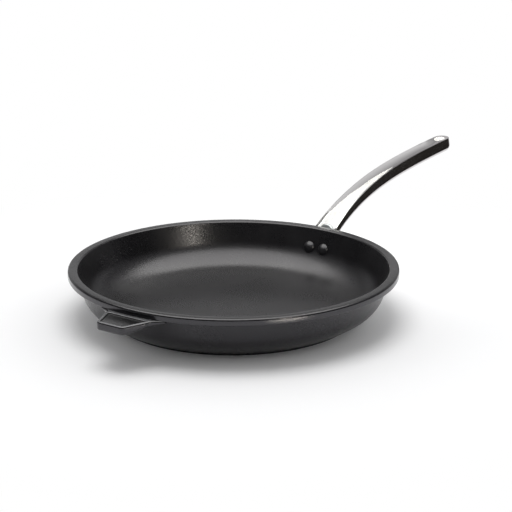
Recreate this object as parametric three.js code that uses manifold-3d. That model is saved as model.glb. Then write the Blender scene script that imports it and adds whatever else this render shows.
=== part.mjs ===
// A non-stick frying pan: a cast aluminium pan with a helper handle cast on its front, and a forked
// stainless steel handle held to the back wall by two rivets.
// Millimetres, +Z up. The origin is the centre of the underside of the base, and +X runs along the handle.
import * as THREE from "three";
import { mergeVertices } from "three/addons/utils/BufferGeometryUtils.js";
import Module from "manifold-3d";

const wasm = await Module();
wasm.setup();

const degrees = Math.PI / 180;

// Pan casting: a turned bowl
const panHeight = 49.5; // base to the top of the rim
const rimRadius = 160;
const rimDepth = 6.6; // the rim's outer face, top to bottom
const rimOverhang = 8; // from the outside of the wall to the rim's outer face
const rimTopRound = 2;
const rimBottomRound = 1;
const lipRound = 2; // inner edge of the rim
const wallLean = 19.5 * degrees; // from the vertical
const wallThickness = 3.6;
const heelLean = 62 * degrees; // lower wall, from the vertical
const heelRound = 30; // between the wall and the heel, outside
const footInset = 42; // from the rim's outer face to the foot's edge, in plan
const footHeight = 1.5;
const floorThickness = 9;
const floorRound = 26; // between the wall and the floor, inside

// Turned rings in the underside, from the foot inwards
const ringCount = 4;
const ringMargin = 18; // from the foot's edge to the first ring
const ringPitch = 20;
const ringWidth = 4;
const ringDepth = 0.8;

// Helper handle, cast on the front, with a recessed panel on top
const helperLength = 30.5; // beyond the rim
const helperTipWidth = 30.2;
const helperNeckLength = 7; // beyond the rim, where the straight sides turn into the root
const helperNeckWidth = 48.6;
const helperRootWidth = 74; // where the root runs out along the rim
const helperThickness = 8;
const helperRootThickness = 2; // where the root runs out
const helperOverlap = 0.6; // its top, above the rim's lower edge
const helperCornerRound = 6;
const helperEdgeRound = 1.2;
const panelBorder = 3.4;
const panelDepth = 1.4;
const panelEdgeGap = 4; // from the rim's outer face to the panel
const panelCornerRound = 2;

// Mounting pad on the back wall, parallel to the wall, level with the rim's lower edge
const padWidth = 37;
const padHeight = 27;
const padRound = 6;

// Rivets
const rivetBelowRim = 19;
const rivetSpacing = 17;
const rivetHeadRadius = 6.2;
const rivetHeadHeight = 3.4;
const rivetShankRadius = 3;
const rivetTailRadius = 4.8;
const rivetTailHeight = 2;

// Handle flange: a plate on the pad, with a round tongue that rises between the prongs
const flangeThickness = 4;
const flangeWidth = 33;
const flangeDrop = 12.5; // below the rivets
const flangeShoulder = 12.5; // above the rivets
const flangeRound = 7;
const flangeShoulderRound = 4;
const tongueRise = 2; // top of the tongue, above the rim
const tongueWidth = 19;

// Handle bar: its top edge is a curve in the plane of symmetry, given beyond the rim and above it
const barRootOut = 1;
const barRootRise = -1;
const barLiftOut = 60; // pulls the curve up from the root
const barLiftRise = 36;
const barEaseOut = 133; // eases it towards the level
const barEaseRise = 43.2;
const handleLength = 243; // beyond the rim
const handleRise = 47; // above the rim
const barRootWidth = 25.6;
const barTipWidth = 16.4;
const barTaper = 3.2; // how fast the root narrows to the grip
const barRootDepth = 11;
const barGripDepth = 14.7;
const barTipDepth = 15;
const barEdgeRound = 0.6;
const barBellyRound = 5;
const barSideLean = 8 * degrees; // the sides spread downwards
const barNoseLength = 8.5;
const barNoseWidth = 3; // the blunt front of the rounded end
const barNoseLift = 4; // its underside, above the grip's

// Dished top of the bar: it runs from the root and fades out before the end, given beyond the rim
const dishDepth = 5.3;
const dishEdge = 0.7; // flat left on each side
const dishFade = 196;
const dishEnd = 222;
const dishBottomShare = 0.6; // how much of its half width is rounded

// Teardrop slot between the prongs, beyond the rim
const slotTip = 133;
const slotTipLength = 12; // of its sharp point
const slotWaist = 90;
const slotWaistWidth = 8.2;
const slotShoulder = 65;
const slotShoulderWidth = 13.4;
const slotShoulderBend = 9;
const slotRootWidth = 22.6;

// Hanging hole near the end of the bar
const hangHoleInset = 13; // its centre, from the end of the bar
const hangHoleWidth = 10;
const hangHoleLength = 13;

// Fits
const seatGap = 0.3;

// Fineness of the facets
const turnSteps = 72;
const arcSteps = 7;
const barSteps = 44;
const noseSteps = 6;
const rivetSteps = 24;

const coatedCasting = new THREE.MeshStandardMaterial({ color: 0x2b2b2e, roughness: 0.55, metalness: 0.1 });
const coatedSteel = new THREE.MeshStandardMaterial({ color: 0x3a3a3d, roughness: 0.45, metalness: 0.2 });
const polishedSteel = new THREE.MeshStandardMaterial({ color: 0xc9c9cc, roughness: 0.12, metalness: 1 });

// Solids and meshes

function solidOf(geometry) {
  const plain = geometry.clone();
  plain.deleteAttribute("normal");
  plain.deleteAttribute("uv");
  const merged = mergeVertices(plain, 1e-4);
  return new wasm.Manifold(
    new wasm.Mesh({
      numProp: 3,
      vertProperties: new Float32Array(merged.attributes.position.array),
      triVerts: new Uint32Array(merged.index.array),
    }),
  );
}

function geometryOf(solid) {
  const mesh = solid.getMesh();
  const geometry = new THREE.BufferGeometry();
  geometry.setAttribute("position", new THREE.BufferAttribute(mesh.vertProperties, 3));
  geometry.setIndex(new THREE.BufferAttribute(mesh.triVerts, 1));
  geometry.computeVertexNormals();
  return geometry;
}

function namedMesh(name, geometry, material) {
  const mesh = new THREE.Mesh(geometry, material);
  mesh.name = name;
  return mesh;
}

// A turned solid about the Z axis, from a profile of (radius, height) points going up its outside.
function turned(profile, steps) {
  return new THREE.LatheGeometry(profile, steps).rotateX(Math.PI / 2);
}

// An outline in plan, raised by a height.
function raised(outline, height) {
  return new THREE.ExtrudeGeometry(outline, { depth: height, bevelEnabled: false, curveSegments: arcSteps });
}

const point = (x, y) => new THREE.Vector2(x, y);

const evenly = (from, to, steps) => Array.from({ length: steps + 1 }, (_, i) => from + ((to - from) * i) / steps);

// Points on a round of a given radius that joins two straight runs meeting at a corner.
function roundedCorner(before, corner, after, radius, steps = arcSteps) {
  const back = before.clone().sub(corner).normalize();
  const on = after.clone().sub(corner).normalize();
  const halfAngle = Math.acos(THREE.MathUtils.clamp(back.dot(on), -1, 1)) / 2;
  const tangent = radius / Math.tan(halfAngle);
  const centre = corner.clone().addScaledVector(back.clone().add(on).normalize(), radius / Math.sin(halfAngle));
  const first = corner.clone().addScaledVector(back, tangent).sub(centre);
  const last = corner.clone().addScaledVector(on, tangent).sub(centre);
  const from = first.angle();
  const sweep = Math.atan2(first.cross(last), first.dot(last));
  return evenly(from, from + sweep, steps).map((angle) => {
    return point(centre.x + radius * Math.cos(angle), centre.y + radius * Math.sin(angle));
  });
}

// A closed outline through corners, each with its own round.
function roundedOutline(corners) {
  const points = corners.flatMap((corner, i) => {
    const before = corners.at(i - 1).at;
    const after = corners[(i + 1) % corners.length].at;
    return roundedCorner(before, corner.at, after, corner.round);
  });
  return new THREE.Shape(points);
}

// Where the wall's outside and inside lie at a height.
const rimUnderside = panHeight - rimDepth;
const wallTopRadius = rimRadius - rimOverhang;
const wallOutsideAt = (height) => wallTopRadius + (height - rimUnderside) * Math.tan(wallLean);
const wallInsideAt = (height) => wallOutsideAt(height) - wallThickness / Math.cos(wallLean);

// Pan casting

function bowlOutside() {
  const footRadius = rimRadius - footInset;
  const outerRing = footRadius - ringMargin;
  const innerRing = outerRing - (ringCount - 1) * ringPitch;
  const rings = evenly(innerRing, outerRing, ringCount - 1).flatMap((radius) => [
    point(radius - ringWidth / 2, 0),
    point(radius, ringDepth),
    point(radius + ringWidth / 2, 0),
  ]);
  const foot = point(footRadius, footHeight);
  const wallTop = point(wallTopRadius, rimUnderside);
  // the heel and wall lines meet at a corner, which the heel round takes off
  const heelSlope = Math.tan(heelLean);
  const wallSlope = Math.tan(wallLean);
  const rise = (wallTop.x - foot.x - (wallTop.y - foot.y) * wallSlope) / (heelSlope - wallSlope);
  const heelCorner = point(foot.x + rise * heelSlope, foot.y + rise);
  const rimLower = point(rimRadius, rimUnderside);
  const rimUpper = point(rimRadius, panHeight);
  const rimCentre = point(0, panHeight);
  const profile = [
    point(0, 0),
    ...rings,
    point(footRadius, 0),
    foot,
    ...roundedCorner(foot, heelCorner, wallTop, heelRound),
    wallTop,
    ...roundedCorner(wallTop, rimLower, rimUpper, rimBottomRound, 2),
    ...roundedCorner(rimLower, rimUpper, rimCentre, rimTopRound, 4),
    rimCentre,
  ];
  return solidOf(turned(profile, turnSteps));
}

function bowlInside() {
  const floorCentre = point(0, floorThickness);
  const floorCorner = point(wallInsideAt(floorThickness), floorThickness);
  const lip = point(wallInsideAt(panHeight), panHeight);
  const rimFlat = point(rimRadius, panHeight);
  const lipArc = roundedCorner(floorCorner, lip, rimFlat, lipRound, 4);
  const above = panHeight + lipRound;
  const profile = [
    floorCentre,
    ...roundedCorner(floorCentre, floorCorner, lip, floorRound),
    ...lipArc,
    point(lipArc.at(-1).x, above),
    point(0, above),
  ];
  return solidOf(turned(profile, turnSteps));
}

const helperReach = rimRadius + helperLength;
const helperNeckReach = rimRadius + helperNeckLength;

function helperHandle() {
  const top = rimUnderside + helperOverlap;
  const tip = point(-helperReach, helperTipWidth / 2);
  const neck = point(-helperNeckReach, helperNeckWidth / 2);
  const root = point(-Math.sqrt(rimRadius ** 2 - (helperRootWidth / 2) ** 2), helperRootWidth / 2);
  const flare = new THREE.QuadraticBezierCurve(neck, point(-rimRadius, helperNeckWidth / 2), root);
  const side = [
    ...roundedCorner(point(tip.x, 0), tip, neck, helperCornerRound),
    ...flare.getPoints(arcSteps),
    point(root.x + helperRootWidth / 2, root.y), // well inside the wall
  ];
  const otherSide = side.map((p) => point(p.x, -p.y)).reverse();
  const tab = new THREE.ExtrudeGeometry(new THREE.Shape([...side, ...otherSide]), {
    depth: helperThickness - 2 * helperEdgeRound,
    bevelSize: helperEdgeRound,
    bevelOffset: -helperEdgeRound,
    bevelThickness: helperEdgeRound,
    bevelSegments: 2,
  });
  tab.translate(0, 0, top - helperThickness + helperEdgeRound);
  return solidOf(tab)
    .subtract(helperPanel(top))
    .subtract(helperUnderside(top, 1))
    .subtract(helperUnderside(top, -1));
}

// Under each side the helper handle thins towards its root, so that the root fades out along the rim.
function helperUnderside(top, side) {
  const low = top - helperThickness;
  const wedge = new THREE.Shape([
    point(side * (helperTipWidth / 2), low),
    point(side * helperRootWidth, low),
    point(side * helperRootWidth, top - helperRootThickness),
    point(side * (helperRootWidth / 2), top - helperRootThickness),
  ]);
  const cutter = raised(wedge, helperReach).rotateX(Math.PI / 2).rotateZ(Math.PI / 2);
  return solidOf(cutter.translate(-helperReach, 0, 0));
}

// The panel keeps the helper handle's taper, one border inside its edges.
function helperPanel(top) {
  const near = rimRadius + panelEdgeGap;
  const far = helperReach - panelBorder;
  const sideSlope = (helperNeckWidth - helperTipWidth) / 2 / (helperReach - helperNeckReach);
  const border = panelBorder * Math.hypot(1, sideSlope);
  const halfWidthAt = (reach) => helperTipWidth / 2 + (helperReach - reach) * sideSlope - border;
  const outline = roundedOutline([
    { at: point(-near, halfWidthAt(near)), round: panelCornerRound },
    { at: point(-far, halfWidthAt(far)), round: panelCornerRound },
    { at: point(-far, -halfWidthAt(far)), round: panelCornerRound },
    { at: point(-near, -halfWidthAt(near)), round: panelCornerRound },
  ]);
  return solidOf(raised(outline, panelDepth * 2).translate(0, 0, top - panelDepth));
}

// The seat frame lies on the outside of the back wall, level with the rivets:
// its Z axis is the wall's outward normal, its Y axis runs up the wall.
const rivetHeight = panHeight - rivetBelowRim;
const padRise = rimOverhang * Math.cos(wallLean); // from the outside of the wall
const seatRise = padRise + seatGap; // the flange's face towards the pan

function seatFrame() {
  const outward = new THREE.Vector3(Math.cos(wallLean), 0, -Math.sin(wallLean));
  const across = new THREE.Vector3(0, 1, 0);
  const up = new THREE.Vector3().crossVectors(outward, across);
  return new THREE.Matrix4()
    .makeBasis(across, up, outward)
    .setPosition(wallOutsideAt(rivetHeight), 0, rivetHeight);
}

function mountingPad() {
  const halfWidth = padWidth / 2;
  const halfHeight = padHeight / 2;
  const outline = roundedOutline([
    { at: point(-halfWidth, -halfHeight), round: padRound },
    { at: point(halfWidth, -halfHeight), round: padRound },
    { at: point(halfWidth, halfHeight), round: padRound },
    { at: point(-halfWidth, halfHeight), round: padRound },
  ]);
  const buried = 2 * wallThickness;
  return solidOf(raised(outline, padRise + buried).translate(0, 0, -buried).applyMatrix4(seatFrame()));
}

// A rivet stands on the inside of the wall, square to it, turned about the pan's axis to its side.
const rivetInsideRadius = wallInsideAt(rivetHeight);
const rivetTurn = Math.asin(rivetSpacing / 2 / rivetInsideRadius);

function rivetFrame(side) {
  return new THREE.Matrix4()
    .makeRotationZ(side * rivetTurn)
    .multiply(new THREE.Matrix4().makeTranslation(rivetInsideRadius, 0, rivetHeight))
    .multiply(new THREE.Matrix4().makeRotationY(Math.PI / 2 + wallLean));
}

function rivetHole(side) {
  const length = 6 * wallThickness + 2 * padRise;
  const radius = rivetShankRadius + seatGap;
  const cutter = new THREE.CylinderGeometry(radius, radius, length, rivetSteps).rotateX(Math.PI / 2);
  return solidOf(cutter.applyMatrix4(rivetFrame(side)));
}

// How far along a rivet the outer face of the flange lies. The flange is flat and the wall is round,
// so the rivet meets the flange at a small tilt, and its tail clears the face by the seat gap.
function rivetGrip() {
  const tiltCosine = 1 - Math.cos(wallLean) ** 2 * (1 - Math.cos(rivetTurn));
  const wallFallsAway = rivetInsideRadius * (1 - Math.cos(rivetTurn)) * Math.cos(wallLean);
  const square = wallThickness + seatRise + flangeThickness + wallFallsAway;
  return square / tiltCosine + rivetTailRadius * Math.tan(Math.acos(tiltCosine)) + seatGap;
}

function rivet(side) {
  const tailSeat = rivetGrip();
  const tailTop = tailSeat + rivetTailHeight;
  const domeRadius = (rivetHeadRadius ** 2 + rivetHeadHeight ** 2) / (2 * rivetHeadHeight);
  const domeAngle = Math.asin(rivetHeadRadius / domeRadius);
  const dome = evenly(0, domeAngle, arcSteps).map((angle) => {
    const fall = domeRadius * (1 - Math.cos(angle));
    return point(domeRadius * Math.sin(angle), fall - rivetHeadHeight - seatGap);
  });
  const tailEdge = point(rivetTailRadius, tailSeat);
  const tailCentre = point(0, tailTop);
  const profile = [
    ...dome,
    point(rivetShankRadius, -seatGap),
    point(rivetShankRadius, tailSeat),
    tailEdge,
    ...roundedCorner(tailEdge, point(rivetTailRadius, tailTop), tailCentre, rivetTailHeight / 2, 3),
    tailCentre,
  ];
  return turned(profile, rivetSteps).applyMatrix4(rivetFrame(side));
}

function panBody() {
  return bowlOutside()
    .add(helperHandle())
    .add(mountingPad())
    .subtract(bowlInside())
    .subtract(rivetHole(1))
    .subtract(rivetHole(-1));
}

// Handle

const barStart = rimRadius + barRootOut;
const barEnd = rimRadius + handleLength;
const barTopEdge = new THREE.CubicBezierCurve(
  point(barStart, panHeight + barRootRise),
  point(rimRadius + barLiftOut, panHeight + barLiftRise),
  point(rimRadius + barEaseOut, panHeight + barEaseRise),
  point(barEnd, panHeight + handleRise),
);

const alongBar = (reach) => THREE.MathUtils.clamp((reach - barStart) / (barEnd - barStart), 0, 1);
const intoNose = (reach) => THREE.MathUtils.clamp((reach - barEnd) / barNoseLength + 1, 0, 1);

// The bar narrows quickly from the fork to the grip, and its end is rounded in plan.
function barHalfWidth(reach) {
  const plain = barTipWidth / 2 + ((barRootWidth - barTipWidth) / 2) * (1 - alongBar(reach)) ** barTaper;
  const blunt = barNoseWidth / 2;
  return blunt + (plain - blunt) * Math.sqrt(1 - intoNose(reach) ** 2);
}

// The bar is deepest along the grip, and its end is rounded from below.
function barDepth(reach) {
  const t = alongBar(reach);
  const bulge = 2 * barGripDepth - (barRootDepth + barTipDepth) / 2;
  const plain = barRootDepth * (1 - t) ** 2 + bulge * 2 * t * (1 - t) + barTipDepth * t ** 2;
  return plain - barNoseLift * (1 - Math.sqrt(1 - intoNose(reach) ** 2));
}

// One section of the bar: flat top with crisp edges, sides that spread a little, and a rounded belly.
function barSection(halfWidth, depth) {
  const spread = depth * Math.tan(barSideLean);
  const middle = point(0, -depth);
  const lowerCorner = point(-halfWidth - spread, -depth);
  const edge = point(-halfWidth, -barEdgeRound);
  const belly = Math.min(barBellyRound, halfWidth);
  const leftSide = [
    point(barEdgeRound - halfWidth, 0),
    edge,
    ...roundedCorner(edge, lowerCorner, middle, belly),
  ];
  const rightSide = leftSide.map((p) => point(-p.x, p.y)).reverse();
  return [...leftSide, ...rightSide];
}

// One section of the dish: a trough with straight flanks and a rounded bottom, and a cover above it.
function dishSection(halfWidth, depth, cover) {
  const bottom = dishBottomShare;
  const trough = evenly(0, Math.PI, 2 * arcSteps).map((angle) => {
    const out = Math.abs(Math.cos(angle));
    const climb = (Math.hypot(out, bottom) - bottom) / (Math.hypot(1, bottom) - bottom);
    return point(-halfWidth * Math.cos(angle), depth * (climb - 1));
  });
  return [...trough, point(halfWidth, cover), point(-halfWidth, cover)];
}

function dishDepthAt(reach) {
  return dishDepth * (1 - THREE.MathUtils.smoothstep(reach - rimRadius, dishFade, dishEnd));
}

// A closed skin over sections that stand square to a curve in the plane of symmetry.
function lofted(stations) {
  const count = stations[0].section.length;
  const positions = stations.flatMap(({ at, along, section }) => {
    return section.flatMap((p) => [at.x - p.y * along.y, p.x, at.y + p.y * along.x]);
  });
  const index = [];
  for (let i = 0; i + 1 < stations.length; i++) {
    for (let j = 0; j < count; j++) {
      const a = i * count + j;
      const b = i * count + ((j + 1) % count);
      index.push(a, b, a + count, b, b + count, a + count);
    }
  }
  const last = (stations.length - 1) * count;
  for (const [a, b, c] of THREE.ShapeUtils.triangulateShape(stations[0].section, [])) {
    index.push(a, c, b);
  }
  for (const [a, b, c] of THREE.ShapeUtils.triangulateShape(stations.at(-1).section, [])) {
    index.push(last + a, last + b, last + c);
  }
  const geometry = new THREE.BufferGeometry();
  geometry.setAttribute("position", new THREE.Float32BufferAttribute(positions, 3));
  geometry.setIndex(index);
  return solidOf(geometry);
}

// Where the top edge of the bar is at a reach from the pan's axis, and which way it runs.
// Before its start the edge runs straight on.
function barStation(reach) {
  if (reach < barStart) {
    const along = barTopEdge.getTangent(0);
    const at = barTopEdge.getPoint(0).addScaledVector(along, (reach - barStart) / along.x);
    return { at, along };
  }
  let low = 0;
  let high = 1;
  for (let i = 0; i < 40; i++) {
    const middle = (low + high) / 2;
    if (barTopEdge.getPoint(middle).x < reach) low = middle;
    else high = middle;
  }
  return { at: barTopEdge.getPoint(low), along: barTopEdge.getTangent(low) };
}

const barRootEnd = barStart - barRootDepth; // on the pan's side of the seat, which trims the bar

function bar() {
  const noseStart = barEnd - barNoseLength;
  const nose = evenly(0, Math.PI / 2, noseSteps).map((angle) => noseStart + barNoseLength * Math.sin(angle));
  const reaches = [barRootEnd, ...evenly(barStart, noseStart, barSteps), ...nose.slice(1)];
  const stations = reaches.map((reach) => {
    return { ...barStation(reach), section: barSection(barHalfWidth(reach), barDepth(reach)) };
  });
  return lofted(stations);
}

function dish() {
  const lift = barEdgeRound / 2; // the trough's edges pass above the top, so it fades out in the air
  const stations = evenly(barStart, rimRadius + dishEnd, barSteps).map((reach) => {
    const { at, along } = barStation(reach);
    at.add(point(-along.y, along.x).multiplyScalar(lift));
    const depth = dishDepthAt(reach) + 0.98 * lift;
    return { at, along, section: dishSection(barHalfWidth(reach) - dishEdge, depth, dishDepth) };
  });
  return lofted(stations);
}

// The teardrop slot in plan: pointed towards the grip, full width between the prongs.
function slot() {
  const tip = point(rimRadius + slotTip, 0);
  const waist = point(rimRadius + slotWaist, slotWaistWidth / 2);
  const shoulder = point(rimRadius + slotShoulder, slotShoulderWidth / 2);
  const root = point(barRootEnd, slotRootWidth / 2);
  const spread = shoulder.clone().sub(root).normalize();
  const leaf = new THREE.CubicBezierCurve(
    tip,
    point(tip.x - slotTipLength, waist.y / 2),
    point(waist.x + slotTipLength, waist.y),
    waist,
  );
  const bend = new THREE.CubicBezierCurve(
    waist,
    point(waist.x - slotShoulderBend, waist.y),
    shoulder.clone().addScaledVector(spread, slotShoulderBend),
    shoulder,
  );
  const side = [...leaf.getPoints(arcSteps), ...bend.getPoints(arcSteps).slice(1), root];
  const otherSide = side.slice(1).map((p) => point(p.x, -p.y)).reverse();
  const low = panHeight + barRootRise - 2 * barGripDepth;
  const high = panHeight + handleRise + barGripDepth;
  return solidOf(raised(new THREE.Shape([...side, ...otherSide]), high - low).translate(0, 0, low));
}

function hangHole() {
  const centre = barEnd - hangHoleInset;
  const radius = hangHoleWidth / 2;
  const straight = hangHoleLength / 2 - radius;
  const outline = new THREE.Shape();
  outline.absarc(centre + straight, 0, radius, -Math.PI / 2, Math.PI / 2);
  outline.absarc(centre - straight, 0, radius, Math.PI / 2, (3 * Math.PI) / 2);
  const low = panHeight + handleRise - 2 * barGripDepth;
  return solidOf(raised(outline, 3 * barGripDepth).translate(0, 0, low));
}

// How far up the seat a height above the rim lies, in the middle of the flange.
function upSeat(aboveRim) {
  const middle = seatRise + flangeThickness / 2;
  return (rivetBelowRim + aboveRim + middle * Math.sin(wallLean)) / Math.cos(wallLean);
}

// The flange in the seat frame: a plate that takes both rivets, and a tongue up between the prongs.
function flange() {
  const side = flangeWidth / 2;
  const round = tongueWidth / 2;
  const outline = roundedOutline([
    { at: point(-side, -flangeDrop), round: flangeRound },
    { at: point(side, -flangeDrop), round: flangeRound },
    { at: point(side, flangeShoulder), round: flangeShoulderRound },
    { at: point(-side, flangeShoulder), round: flangeShoulderRound },
  ]);
  const tongue = new THREE.Shape();
  tongue.absarc(0, upSeat(tongueRise) - round, round, 0, Math.PI);
  tongue.lineTo(-round, 0);
  tongue.lineTo(round, 0);
  const plates = [outline, tongue].map((shape) => {
    return solidOf(raised(shape, flangeThickness).translate(0, 0, seatRise).applyMatrix4(seatFrame()));
  });
  return plates[0].add(plates[1]);
}

// Everything on the pan's side of the flange's seat.
function behindSeat() {
  const reach = barRootWidth + padWidth;
  const block = new THREE.BoxGeometry(reach, 4 * reach, reach).translate(0, 0, seatRise - reach / 2);
  return solidOf(block.applyMatrix4(seatFrame()));
}

function mainHandle() {
  return bar()
    .subtract(dish())
    .subtract(slot())
    .add(flange())
    .subtract(behindSeat())
    .subtract(hangHole())
    .subtract(rivetHole(1))
    .subtract(rivetHole(-1));
}

const fryingPan = new THREE.Group();
fryingPan.add(namedMesh("pan_body", geometryOf(panBody()), coatedCasting));
fryingPan.add(namedMesh("main_handle", geometryOf(mainHandle()), polishedSteel));
fryingPan.add(namedMesh("rivet_left", rivet(1), coatedSteel));
fryingPan.add(namedMesh("rivet_right", rivet(-1), coatedSteel));

export default fryingPan;
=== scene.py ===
import bpy
import bmesh
import math
from mathutils import Matrix, Vector


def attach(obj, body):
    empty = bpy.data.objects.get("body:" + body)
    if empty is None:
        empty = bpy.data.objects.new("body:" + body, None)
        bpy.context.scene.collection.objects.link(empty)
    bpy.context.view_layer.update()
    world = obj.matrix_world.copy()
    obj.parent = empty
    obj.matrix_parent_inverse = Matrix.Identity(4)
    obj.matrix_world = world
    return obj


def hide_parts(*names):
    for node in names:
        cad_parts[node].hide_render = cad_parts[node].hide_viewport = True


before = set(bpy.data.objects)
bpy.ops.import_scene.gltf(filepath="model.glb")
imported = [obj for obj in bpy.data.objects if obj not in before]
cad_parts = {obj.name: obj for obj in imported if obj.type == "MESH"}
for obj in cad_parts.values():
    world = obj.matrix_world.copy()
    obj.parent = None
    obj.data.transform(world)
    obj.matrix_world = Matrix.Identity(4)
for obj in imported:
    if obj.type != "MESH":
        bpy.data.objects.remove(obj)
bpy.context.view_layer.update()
scene = bpy.context.scene
print("frame loaded:", sorted(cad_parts))

# sizes below are millimetres, meshes are metres
mm = 0.001
cm3 = 1e-6
mergeGap, sliverGap = 0.005, 0.002  # points nearer than this are one point
tiny = 1e-6


# small tools

def evenly(start, end, steps):
    return [start + (end - start) * i / steps for i in range(steps + 1)]


def smoothStep(value, low, high):
    t = min(max((value - low) / (high - low), 0), 1)
    return t * t * (3 - 2 * t)


def roundCorner(before, corner, after, radius, steps):
    before, corner, after = Vector(before), Vector(corner), Vector(after)
    back, on = (before - corner).normalized(), (after - corner).normalized()
    half = back.angle(on) / 2
    centre = corner + (back + on).normalized() * radius / math.sin(half)
    first = corner + back * radius / math.tan(half) - centre
    last = corner + on * radius / math.tan(half) - centre
    start = math.atan2(first.y, first.x)
    sweep = math.atan2(first.x * last.y - first.y * last.x, first.dot(last))
    return [(centre.x + radius * math.cos(a), centre.y + radius * math.sin(a))
            for a in evenly(start, start + sweep, steps)]


def roundOutline(corners, steps):
    points = []
    for i, (at, radius) in enumerate(corners):
        points += roundCorner(corners[i - 1][0], at, corners[(i + 1) % len(corners)][0], radius, steps)
    return points


def meshPiece(name, points, faces, sharpAngle=40):
    mesh = bpy.data.meshes.new(name)
    mesh.from_pydata([Vector(p) * mm for p in points], [], faces)
    work = bmesh.new()
    work.from_mesh(mesh)
    bmesh.ops.remove_doubles(work, verts=work.verts, dist=mergeGap * mm)
    bmesh.ops.dissolve_degenerate(work, edges=work.edges, dist=sliverGap * mm)
    bmesh.ops.recalc_face_normals(work, faces=work.faces)
    loose = sum(1 for e in work.edges if len(e.link_faces) != 2)
    volume = work.calc_volume(signed=True) / cm3
    print(name, len(work.faces), "faces,", loose, "open edges,", round(volume, 2), "cm3")
    work.to_mesh(mesh)
    work.free()
    piece = bpy.data.objects.new(name, mesh)
    scene.collection.objects.link(piece)
    smoothPiece(piece, sharpAngle)
    return piece


def smoothPiece(piece, sharpAngle):
    piece.data.polygons.foreach_set("use_smooth", [True] * len(piece.data.polygons))
    piece.data.set_sharp_from_angle(angle=math.radians(sharpAngle))


def applyModifiers(piece):
    bpy.context.view_layer.update()
    graph = bpy.context.evaluated_depsgraph_get()
    finished = bpy.data.meshes.new_from_object(piece.evaluated_get(graph))
    finished.name = piece.name
    piece.modifiers.clear()
    piece.data = finished


def cutOut(piece, cutter):
    cut = piece.modifiers.new("cut", "BOOLEAN")
    cut.operation = "DIFFERENCE"
    cut.solver = "EXACT"
    cut.object = cutter
    applyModifiers(piece)
    bpy.data.objects.remove(cutter)


# closed rings of points, one over the other, with a face on each end
def stackRings(name, rings, sharpAngle=40):
    count = len(rings[0])
    points = [p for ring in rings for p in ring]
    faces = []
    for i in range(len(rings) - 1):
        for j in range(count):
            k = (j + 1) % count
            faces.append((i * count + j, i * count + k, (i + 1) * count + k, (i + 1) * count + j))
    faces.append(tuple(reversed(range(count))))
    faces.append(tuple(range((len(rings) - 1) * count, len(rings) * count)))
    return meshPiece(name, points, faces, sharpAngle)


def turnedPiece(name, profile, steps, place=Matrix(), sharpAngle=40):
    points, rows = [], []
    for radius, height in profile:
        row = []
        for i in range(1 if radius < tiny else steps):
            a = 2 * math.pi * i / steps
            row.append(len(points))
            points.append(place @ Vector((radius * math.cos(a), radius * math.sin(a), height)))
        rows.append(row)
    faces = []
    for low, high in zip(rows, rows[1:]):
        for i in range(steps):
            k = (i + 1) % steps
            a, b = low[i % len(low)], low[k % len(low)]
            c, d = high[k % len(high)], high[i % len(high)]
            faces.append(tuple(dict.fromkeys((a, b, c, d))))
    return meshPiece(name, points, [f for f in faces if len(f) > 2], sharpAngle)


# the pan's sizes, and how its wall lies

panShape = dict(
    height=49.5, rimRadius=160, rimDepth=6.6, rimOverhang=8, rimTopRound=2, rimBottomRound=1, lipRound=2,
    wallLean=math.radians(19.5), wallThickness=3.6, underRimRound=1.2, heelLean=math.radians(62), heelRound=30,
    footRadius=118, footHeight=1.5, footRound=0.5, floorThickness=9, floorRound=32, floorCircles=(100, 75, 50, 25, 0),
    rings=(40, 60, 80, 100), ringWidth=4, ringDepth=0.8, ringShape=1.5, steps=288,
)


def wallOutside(height):
    p = panShape
    return p["rimRadius"] - p["rimOverhang"] + (height - p["height"] + p["rimDepth"]) * math.tan(p["wallLean"])


def wallInside(height):
    return wallOutside(height) - panShape["wallThickness"] / math.cos(panShape["wallLean"])


# pan shell, turned in one piece from the underside round the rim to the floor

def makePanShell():
    p = panShape
    rimLow = p["height"] - p["rimDepth"]
    profile = [(0, 0)]
    for ring in p["rings"]:
        for t in evenly(-1, 1, 8):
            deep = p["ringDepth"] * math.cos(t * math.pi / 2) ** p["ringShape"]
            profile.append((ring + t * p["ringWidth"] / 2, deep))
    foot = (p["footRadius"], p["footHeight"])
    profile += roundCorner((0, 0), (p["footRadius"], 0), foot, p["footRound"], steps=4)
    wallTop = (wallOutside(rimLow), rimLow)
    heel, wall = math.tan(p["heelLean"]), math.tan(p["wallLean"])
    rise = (wallTop[0] - foot[0] - (wallTop[1] - foot[1]) * wall) / (heel - wall)
    corner = (foot[0] + rise * heel, foot[1] + rise)
    profile += [foot]
    profile += roundCorner(foot, corner, wallTop, p["heelRound"], steps=20)
    rimLower, rimUpper, middle = (p["rimRadius"], rimLow), (p["rimRadius"], p["height"]), (0, p["height"])
    profile += roundCorner(corner, wallTop, rimLower, p["underRimRound"], steps=5)
    profile += roundCorner(wallTop, rimLower, rimUpper, p["rimBottomRound"], steps=5)
    profile += roundCorner(rimLower, rimUpper, middle, p["rimTopRound"], steps=10)
    lip = (wallInside(p["height"]), p["height"])
    floorCorner = (wallInside(p["floorThickness"]), p["floorThickness"])
    profile += roundCorner(rimUpper, lip, floorCorner, p["lipRound"], steps=10)
    profile += roundCorner(lip, floorCorner, (0, p["floorThickness"]), p["floorRound"], steps=30)
    profile += [(r, p["floorThickness"]) for r in p["floorCircles"]]
    return turnedPiece("panShell", profile, p["steps"], sharpAngle=50)


bareBase = dict(height=0.9, edge=0.3)


def isBase(at, normal):
    # the machined flat and its grooves, inside the foot's edge
    return at.z < bareBase["height"] and math.hypot(at.x, at.y) < panShape["footRadius"] - bareBase["edge"]


# helper handle, cast on the front

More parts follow.
